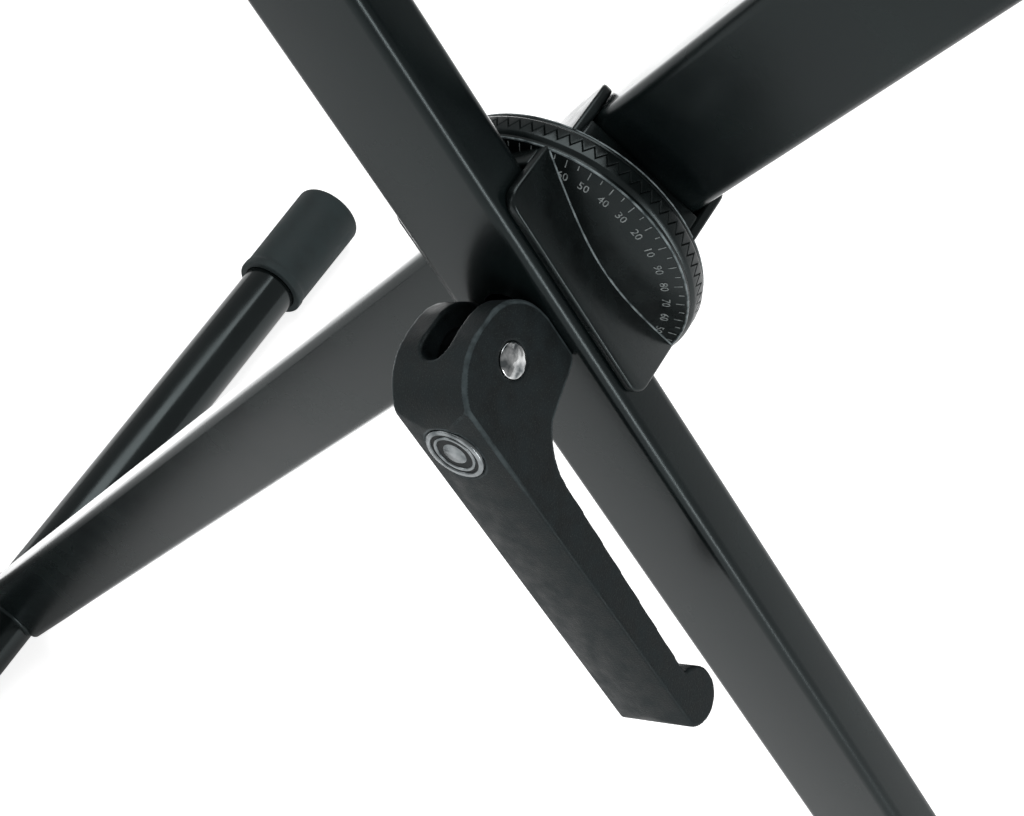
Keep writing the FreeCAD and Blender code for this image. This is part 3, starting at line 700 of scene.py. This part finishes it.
def joined(name, *pieces):
    """One mesh object from several, materials kept by index."""
    work = bmesh.new()
    for piece in pieces:
        work.from_mesh(piece.data)
        if piece.name in bpy.context.scene.collection.objects:
            bpy.context.scene.collection.objects.unlink(piece)
    mesh = bpy.data.meshes.new(name)
    work.to_mesh(mesh)
    work.free()
    for piece in pieces:
        bpy.data.objects.remove(piece)
    return bpy.data.objects.new(name, mesh)


STRIP = 0.26 * MM        # radius of the thin beads along the disc's edges
STRIP_SIDES = 8


def rim_bead(side):
    """The thin bead round the dish, at the rim's step."""
    place = leg_frame(side)
    steps, sides = 144, STRIP_SIDES
    points = []
    for step in range(steps):
        angle = 2 * math.pi * step / steps
        for turn in np.linspace(0, 2 * math.pi, sides, endpoint=False):
            radius = CONE_TOP.x - 0.2 * MM + STRIP * math.cos(turn)
            depth = CONE_TOP.y + STRIP * math.sin(turn)
            points.append(place @ Vector((radius * math.cos(angle), side * depth, radius * math.sin(angle))))
    faces = [(step * sides + k, step * sides + (k + 1) % sides, (step + 1) % steps * sides + (k + 1) % sides,
              (step + 1) % steps * sides + k) for step in range(steps) for k in range(sides)]
    return mesh_piece("rim_bead_%d" % side, points, faces, 80)


def crease(side, edge):
    """The bead where a cheek meets the dish: a thin round strip along their common curve."""
    place = leg_frame(side)
    reach = SADDLE_HALF - 1 * MM
    rows, sides = 61, STRIP_SIDES
    points, faces = [], []
    for z in np.linspace(-reach, reach, rows):
        radius = math.hypot(CHEEK_OUT, z)
        depth = CONE_TOP.y + max(CONE_TOP.x - radius, 0) * math.tan(SLOPE)
        for turn in np.linspace(0, 2 * math.pi, sides, endpoint=False):
            offset = (edge * (CHEEK_OUT + STRIP * math.cos(turn)), side * (depth + STRIP * math.sin(turn)), z)
            points.append(place @ Vector(offset))
    for row in range(rows - 1):
        for k in range(sides):
            a, b = row * sides + k, row * sides + (k + 1) % sides
            faces.append((a, b, b + sides, a + sides))
    return mesh_piece("crease_%d_%d" % (side, edge), points, faces, 80)


for side, leg in LEGS:
    disc = joined(leg + "_disc_moulded", disc_body(side), saddle(side))
    soften(disc.data, 28)
    settle(disc, leg + "_gear_disc", [nylon])
    beads = joined(leg + "_disc_beads", rim_bead(side), crease(side, 1), crease(side, -1))
    soften(beads.data, 80)
    # The beads take the pale nylon: a painted highlight along the rim and the cheek creases.
    settle(beads, leg + "_gear_disc", [painted_highlight], stands=False)

# %% [markdown]
# ## The printed scale
# Ticks stand every five degrees on the dished back, and a plain two-digit number every ten. Geometry Nodes put
# one small bar at each angle; the numbers are text, made mesh and laid on the same cone, inside the ticks.

# %% Tick marks
INK = 0.06 * MM          # thicker than real ink, so that it stands clear of the nylon
LONG_RADIUS, SHORT_RADIUS = 31.8 * MM, 32.2 * MM         # where the ticks' middles are
SHORT_TICK = 0.6         # of a long one


def on_cone(side, angle, radius):
    """A frame on the dish: x along the rim, y outward along the slope, z out of the surface."""
    depth = CONE_TOP.y + (CONE_TOP.x - radius) * math.tan(SLOPE) + INK * 0.6
    outward = Vector((math.cos(SLOPE), -math.sin(SLOPE)))
    radial = Vector((math.cos(angle), 0, math.sin(angle)))
    face = Vector((0, side, 0))
    y_axis = radial * outward.x + face * outward.y
    z_axis = radial * math.sin(SLOPE) + face * math.cos(SLOPE)
    x_axis = y_axis.cross(z_axis)
    spot = radial * radius + face * depth
    basis = Matrix((x_axis, y_axis, z_axis)).transposed().to_4x4()
    return leg_frame(side) @ Matrix.Translation(spot) @ basis


def tick_tree():
    """Instances a bar on every point and turns it to the point's stored rotation."""
    tree = bpy.data.node_groups.new("tick_marks", "GeometryNodeTree")
    face = tree.interface
    face.new_socket("Geometry", in_out="INPUT", socket_type="NodeSocketGeometry")
    for name, value in (("Width", 0.2 * MM), ("Length", 1.9 * MM), ("Thickness", INK)):
        face.new_socket(name, in_out="INPUT", socket_type="NodeSocketFloat").default_value = value
    face.new_socket("Ink", in_out="INPUT", socket_type="NodeSocketMaterial")
    face.new_socket("Geometry", in_out="OUTPUT", socket_type="NodeSocketGeometry")
    given = tree.nodes.new("NodeGroupInput").outputs
    size = add(tree, "ShaderNodeCombineXYZ", {"X": given["Width"], "Y": given["Length"], "Z": given["Thickness"]})
    bar = add(tree, "GeometryNodeMeshCube", {"Size": size.outputs["Vector"]})
    turn = add(tree, "GeometryNodeInputNamedAttribute", {"Name": "turn"}, data_type="FLOAT_VECTOR")
    stretch = add(tree, "GeometryNodeInputNamedAttribute", {"Name": "stretch"}, data_type="FLOAT_VECTOR")
    rotation = add(tree, "FunctionNodeEulerToRotation", {"Euler": turn.outputs["Attribute"]})
    copies = add(tree, "GeometryNodeInstanceOnPoints", {
        "Points": given["Geometry"], "Instance": bar.outputs["Mesh"], "Rotation": rotation.outputs["Rotation"],
        "Scale": stretch.outputs["Attribute"]})
    real = add(tree, "GeometryNodeRealizeInstances", {"Geometry": copies.outputs["Instances"]})
    inked = add(tree, "GeometryNodeSetMaterial", {"Geometry": real.outputs["Geometry"], "Material": given["Ink"]})
    add(tree, "NodeGroupOutput", {"Geometry": inked.outputs["Geometry"]})
    return tree


TICKS = tick_tree()


def tick_marks(side, name, node):
    """Long ticks at the tens, short ones between."""
    mesh = bpy.data.meshes.new(name)
    frames, scales = [], []
    for step in range(TEETH):
        long_one = step % 2 == 0
        radius = LONG_RADIUS if long_one else SHORT_RADIUS
        frames.append(on_cone(side, 2 * math.pi * step / TEETH, radius))
        scales.append((1, 1.0 if long_one else SHORT_TICK, 1))
    mesh.from_pydata([spot.translation for spot in frames], [], [])
    for title, rows in (("turn", [tuple(spot.to_euler()) for spot in frames]), ("stretch", scales)):
        layer = mesh.attributes.new(title, "FLOAT_VECTOR", "POINT")
        layer.data.foreach_set("vector", [value for row in rows for value in row])
    piece = bpy.data.objects.new(name, mesh)
    nodes = piece.modifiers.new("ticks", "NODES")
    nodes.node_group = TICKS
    ink_input = [item for item in TICKS.interface.items_tree if item.name == "Ink"][0]
    nodes[ink_input.identifier] = ink
    made_plain(piece)
    piece.data.materials.clear()
    return settle(piece, node, [ink], stands=False)


for side, leg in LEGS:
    tick_marks(side, leg + "_disc_ticks", leg + "_gear_disc")

# %% Numbers
NUMBER_HEIGHT = 1.95 * MM
NUMBER_RADIUS = 28.8 * MM
FONT_SHARE = 1.35        # the font's size for each unit of its digits' height


def number_mesh(text):
    """Flat text as a mesh, centred, at its real size."""
    curve = bpy.data.curves.new("number_" + text, "FONT")
    curve.body = text
    curve.size = NUMBER_HEIGHT * FONT_SHARE
    curve.align_x = "CENTER"
    curve.align_y = "CENTER"
    curve.extrude = INK / 2
    curve.resolution_u = 2
    holder = bpy.data.objects.new("number_" + text, curve)
    bpy.context.scene.collection.objects.link(holder)
    graph = bpy.context.evaluated_depsgraph_get()
    graph.update()
    mesh = bpy.data.meshes.new_from_object(holder.evaluated_get(graph))
    bpy.data.objects.remove(holder)
    return mesh


def numbers(side, name, node):
    """Plain two-digit numbers round the dish, their tops towards the rim."""
    work = bmesh.new()
    count = TEETH // 2
    for step in range(count):
        mesh = number_mesh("%02d" % (10 * (step % 9 + 1)))
        mesh.transform(on_cone(side, 2 * math.pi * step / count, NUMBER_RADIUS))
        work.from_mesh(mesh)
        bpy.data.meshes.remove(mesh)
    mesh = bpy.data.meshes.new(name)
    work.to_mesh(mesh)
    work.free()
    mesh.materials.clear()
    return settle(bpy.data.objects.new(name, mesh), node, [ink], stands=False)


for side, leg in LEGS:
    numbers(side, leg + "_disc_numbers", leg + "_gear_disc")

# %% [markdown]
# ## The clamp lever
# The lever's solid already has its cam, slot and crown. Real mouldings have no knife edges: the solid is made into
# fine even squares in its own axes, and relaxing them rounds every edge by a millimetre or two. Points that stay
# close to the drawn faces go back onto them, so flats stay flat. The finish then finds the edges by itself and
# paints
# them paler: partly the wear that hands give, partly a painted highlight.

# %% Lever
SQUARE = 0.45 * MM
PASSES = 18              # of relaxing
NEAR, FALL = 0.25 * MM, 1.6          # points closer than 0.6 of NEAR go all the way back, beyond 1.6 of it none

lever = copied("clamp_lever", "clamp_lever_moulded", flatten=False)
lever.data.transform(leg_frame(-1).inverted())
squares = lever.modifiers.new("even_squares", "REMESH")
squares.mode = "VOXEL"
squares.voxel_size = SQUARE
relaxed = lever.modifiers.new("relaxed_edges", "SMOOTH")
relaxed.factor = 0.5
relaxed.iterations = PASSES
corners = [vertex.co.copy() for vertex in lever.data.vertices]
drawn = BVHTree.FromPolygons(corners, [face.vertices[:] for face in lever.data.polygons])
made_plain(lever)
for vertex in lever.data.vertices:
    nearest, _, _, gap = drawn.find_nearest(vertex.co)
    pull = min(max(FALL - gap / NEAR, 0), 1)
    vertex.co += (nearest - vertex.co) * pull
lever.data.transform(leg_frame(-1))
lever.data.materials.clear()
soften(lever.data, 180)
settle(lever, "clamp_lever", [lever_skin])
print("lever:", len(lever.data.polygons), "faces")

# %% Pin and badge
PIN_RADIUS = 4 * MM
PIN_DOME = 0.6 * MM
HALF_LEVER = 11 * MM
ENAMEL = 0.88 * MM       # the fill's height, just over the floor of the badge's grooves


def lathe_about(name, profile, place, steps=48):
    """Spins a profile of (radius, along) about the x axis of a frame."""
    points = []
    for step in range(steps):
        angle = 2 * math.pi * step / steps
        points += [place @ Vector((along, r * math.cos(angle), r * math.sin(angle))) for r, along in profile]
    return mesh_piece(name, points, spun_faces(steps, len(profile)), 50)


PIN_PLACE = leg_frame(-1) @ Matrix.Translation(Vector(joints["lever_turn"]["pos_m"]) - PIVOT)
dome = [(PIN_RADIUS * math.sin(t), PIN_DOME * math.cos(t)) for t in np.linspace(0, math.pi / 2, 9)]
pin_profile = [(r, HALF_LEVER + y) for r, y in dome] + [(r, -HALF_LEVER - y) for r, y in reversed(dome)]
settle(lathe_about("lever_pin_domed", pin_profile, PIN_PLACE), "lever_pin", [chrome])

BADGE_SPIN = Matrix.Rotation(math.radians(-90), 4, "Z")
badge_low, badge_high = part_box("lever_badge")
badge_centre = Vector([(a + b) / 2 for a, b in zip(badge_low, badge_high)])
badge_place = Matrix.Translation(Vector((badge_centre.x, badge_high[1], badge_centre.z))) @ BADGE_SPIN
badge_profile = [(0, 1.1), (2.6, 1.1), (2.9, 0.8), (4.3, 0.8), (4.45, 1.1), (5.0, 1.1), (5.15, 0.8), (5.8, 0.8),
                 (5.95, 1.2), (6.6, 1.2), (6.9, 1.1), (7.0, 0.9), (7.0, 0)]
badge_profile = [(r * MM, y * MM) for r, y in badge_profile]
settle(lathe_about("lever_badge_turned", badge_profile, badge_place, 64), "lever_badge", [badge_metal])
for name, inner, outer in (("inner", 2.85, 4.35), ("outer", 5.1, 5.85)):
    fill = [(inner * MM, ENAMEL), (outer * MM, ENAMEL)]
    settle(lathe_about("lever_badge_fill_" + name, fill, badge_place, 64), "lever_badge", [enamel], stands=False)

# %% [markdown]
# ## Hardware
# The washer and nut are zinc-plated steel and the tie rod is blackened. Their solids are right, so copies with
# small rounded edges stand for them.

# %% Rod, washer and nut
for node, width, finish in (("tie_rod", 0.3, black_oxide), ("rear_washer", 0.25, zinc), ("lock_nut", 0.5, zinc)):
    piece = bevelled(copied(node, node + "_plated"), width * MM, 2)
    piece.data.materials.clear()
    soften(piece.data, 40)
    settle(piece, node, [finish])

# %% [markdown]
# ## Welds
# A bead runs where each tube's mouth meets its bar. Geometry Nodes sweep a small round section along the seam and
# a fixed noise makes it ripple, as the puddles of a hand weld do.

# %% Weld beads


def bead_tree():
    """Curve to bead: resample, swell with noise, give it a finish."""
    tree = bpy.data.node_groups.new("weld_bead", "GeometryNodeTree")
    face = tree.interface
    face.new_socket("Geometry", in_out="INPUT", socket_type="NodeSocketGeometry")
    for name, value in (("Bead radius", 1.5 * MM), ("Ripple", 0.5 * MM), ("Step", 0.8 * MM)):
        face.new_socket(name, in_out="INPUT", socket_type="NodeSocketFloat").default_value = value
    face.new_socket("Paint", in_out="INPUT", socket_type="NodeSocketMaterial")
    face.new_socket("Geometry", in_out="OUTPUT", socket_type="NodeSocketGeometry")
    given = tree.nodes.new("NodeGroupInput").outputs
    path = add(tree, "GeometryNodeMeshToCurve", {"Mesh": given["Geometry"]})
    even = add(tree, "GeometryNodeResampleCurve", {"Curve": path.outputs["Curve"], "Length": given["Step"]},
               mode="LENGTH")
    ring = add(tree, "GeometryNodeCurvePrimitiveCircle", {"Resolution": 10, "Radius": given["Bead radius"]})
    bead = add(tree, "GeometryNodeCurveToMesh", {
        "Curve": even.outputs["Curve"], "Profile Curve": ring.outputs["Curve"], "Fill Caps": True})
    noise = add(tree, "ShaderNodeTexNoise", {"Scale": 1 / (2.2 * MM), "Detail": 1.0})
    centred = add(tree, "ShaderNodeMath", {0: noise.outputs["Fac"], 1: -0.5}, operation="ADD")
    amount = add(tree, "ShaderNodeMath", {0: centred.outputs[0], 1: given["Ripple"]}, operation="MULTIPLY")
    normal = add(tree, "GeometryNodeInputNormal")
    shift = add(tree, "ShaderNodeVectorMath", {0: normal.outputs["Normal"], "Scale": amount.outputs[0]},
                operation="SCALE")
    moved = add(tree, "GeometryNodeSetPosition", {
        "Geometry": bead.outputs["Mesh"], "Offset": shift.outputs["Vector"]})
    real = add(tree, "GeometryNodeRealizeInstances", {"Geometry": moved.outputs["Geometry"]})
    painted = add(tree, "GeometryNodeSetMaterial", {
        "Geometry": real.outputs["Geometry"], "Material": given["Paint"]})
    add(tree, "NodeGroupOutput", {"Geometry": painted.outputs["Geometry"]})
    return tree


BEADS = bead_tree()


def weld(side, end, name, node):
    """Beads round one mouth: an arc on the tube's front and back faces, joined across its narrow sides."""
    place = leg_frame(side)
    open_angle = math.acos(SETBACK / BAR_RADIUS)
    count = 15
    points, edges = [], []
    for face in (TUBE_FRONT, TUBE_BACK):
        first = len(points)
        for turn in np.linspace(-open_angle, open_angle, count):
            height = end * (REACH - BAR_RADIUS * math.cos(turn))
            points.append(place @ Vector((BAR_RADIUS * math.sin(turn), side * face, height)))
        edges += [(first + i, first + i + 1) for i in range(count - 1)]
    edges += [(0, count), (count - 1, 2 * count - 1)]
    mesh = bpy.data.meshes.new(name)
    mesh.from_pydata([tuple(p) for p in points], edges, [])
    piece = bpy.data.objects.new(name, mesh)
    nodes = piece.modifiers.new("bead", "NODES")
    nodes.node_group = BEADS
    paint_input = [item for item in BEADS.interface.items_tree if item.name == "Paint"][0]
    nodes[paint_input.identifier] = paint
    made_plain(piece)
    piece.data.materials.clear()
    soften(piece.data, 60)
    return settle(piece, node, [paint], stands=False)


for side, leg in LEGS:
    weld(side, -1, leg + "_foot_weld", leg + "_leg_tube")
    weld(side, 1, leg + "_rest_weld", leg + "_leg_tube")

# %% [markdown]
# ## Studio
# The photograph has a pure white ground. The world shows white to the camera, and the floor glows towards the
# camera on top of what its lit paint gives. Both are dimmer in reflections and as a light, so that black stays
# black, and one spot of the floor is painted dark in reflections alone: a painted shade on the rear tube's low end,
# which mirrors it. Large soft lamps draw the long highlights.

# %% Floor and world
FLOOR_WHITE, REFLECTED_SHADE_BLACK = "#f2f2f2", "#1c1e1e"
FLOOR_TO_EYE, FLOOR_IN_GLOSS = 0.75, 0.45
WORLD_IN_GLOSS, WORLD_AS_LIGHT = 0.36, 0.3
REAR_FOOT = (-0.31, -0.02, 0)       # the rear tube's low end mirrors this spot at a graze: painted dark in gloss, as painted shade on that end
SHADE_SPOT = (0.02, 0.13)                 # the dark spot's full part and its outer edge, from its middle
SHADE_SPOT_SHARE = 0.95                   # how dark its full part is


def white_floor():
    """A wide pale floor: white to the eye, with the stand's soft shadow kept."""
    size = 6.0
    floor = mesh_piece("floor", [(-size, -size, 0), (size, -size, 0), (size, size, 0), (-size, size, 0)],
                       [(0, 1, 2, 3)])
    material, tree, shader, spot = new_material("pale_floor", FLOOR_WHITE, 0.9)
    ray = add(tree, "ShaderNodeLightPath")
    seen = add(tree, "ShaderNodeMath", {0: ray.outputs["Is Camera Ray"], 1: FLOOR_TO_EYE}, operation="MULTIPLY")
    from_foot = add(tree, "ShaderNodeVectorMath", {0: spot, 1: REAR_FOOT}, operation="DISTANCE")
    near = add(tree, "ShaderNodeMapRange", {
        "Value": from_foot.outputs["Value"], "From Min": SHADE_SPOT[0], "From Max": SHADE_SPOT[1],
        "To Min": SHADE_SPOT_SHARE, "To Max": 0})
    glossy = ray.outputs["Is Glossy Ray"]
    # Painted shade: near the rear foot the floor turns dark in reflections alone, to shade the rear tube's low end.
    painted_shade = add(tree, "ShaderNodeMath", {0: glossy, 1: near.outputs["Result"]}, operation="MULTIPLY")
    painted = add(tree, "ShaderNodeMix", {
        "Factor": painted_shade.outputs[0], 6: linear(FLOOR_WHITE), 7: linear(REFLECTED_SHADE_BLACK)}, data_type="RGBA")
    tree.links.new(painted.outputs[2], shader.inputs["Base Color"])
    bare = add(tree, "ShaderNodeMath", {0: glossy, 1: painted_shade.outputs[0]}, operation="SUBTRACT")
    gloss = add(tree, "ShaderNodeMath", {0: bare.outputs[0], 1: FLOOR_IN_GLOSS}, operation="MULTIPLY")
    glow = add(tree, "ShaderNodeMath", {0: seen.outputs[0], 1: gloss.outputs[0]}, operation="MAXIMUM")
    shader.inputs["Emission Color"].default_value = (1, 1, 1, 1)
    tree.links.new(glow.outputs[0], shader.inputs["Emission Strength"])
    shader.inputs["Specular IOR Level"].default_value = 0.0
    floor.data.materials.append(material)
    bpy.context.scene.collection.objects.link(floor)


def studio_world():
    """White to the camera, dimmer in reflections and as a light."""
    world = bpy.data.worlds.new("studio")
    bpy.context.scene.world = world
    world.use_nodes = True
    tree = world.node_tree
    back = tree.nodes["Background"]
    ray = add(tree, "ShaderNodeLightPath")
    seen = add(tree, "ShaderNodeMath", {0: ray.outputs["Is Camera Ray"], 1: ray.outputs["Is Transmission Ray"]},
               operation="MAXIMUM")
    gloss = add(tree, "ShaderNodeMath", {0: ray.outputs["Is Glossy Ray"], 1: WORLD_IN_GLOSS},
                operation="MULTIPLY")
    either = add(tree, "ShaderNodeMath", {0: seen.outputs[0], 1: gloss.outputs[0]}, operation="MAXIMUM")
    strength = add(tree, "ShaderNodeMath", {0: either.outputs[0], 1: WORLD_AS_LIGHT}, operation="MAXIMUM")
    back.inputs["Color"].default_value = (1, 1, 1, 1)
    tree.links.new(strength.outputs[0], back.inputs["Strength"])


white_floor()
studio_world()

# %% Soft lamps
# The low lamp lies flat behind the rear tube's front face, so that only the tube's narrow side mirrors it.


def softbox(name, spot, target, size, watts):
    """A rectangular area lamp that looks at a target, hidden from the camera."""
    data = bpy.data.lights.new(name, "AREA")
    data.shape = "RECTANGLE"
    data.size, data.size_y = size
    data.energy = watts
    lamp = bpy.data.objects.new(name, data)
    lamp.location = spot
    lamp.visible_camera = False
    lamp.rotation_euler = (Vector(target) - Vector(spot)).to_track_quat("-Z", "Y").to_euler()
    bpy.context.scene.collection.objects.link(lamp)


softbox("overhead_softbox", (-0.3, 0.6, 2.2), PIVOT, (1.6, 1.2), 20)
softbox("left_softbox", (-1.8, -0.9, 1.3), PIVOT, (1.2, 1.2), 8)
softbox("low_back_softbox", (-0.5, 0.765, 0.03), (-0.5, 0.775, 1.0), (1.0, 1.5), 10)
softbox("right_strip", (1.5, -1.05, 0.55), PIVOT, (0.3, 1.3), 14)
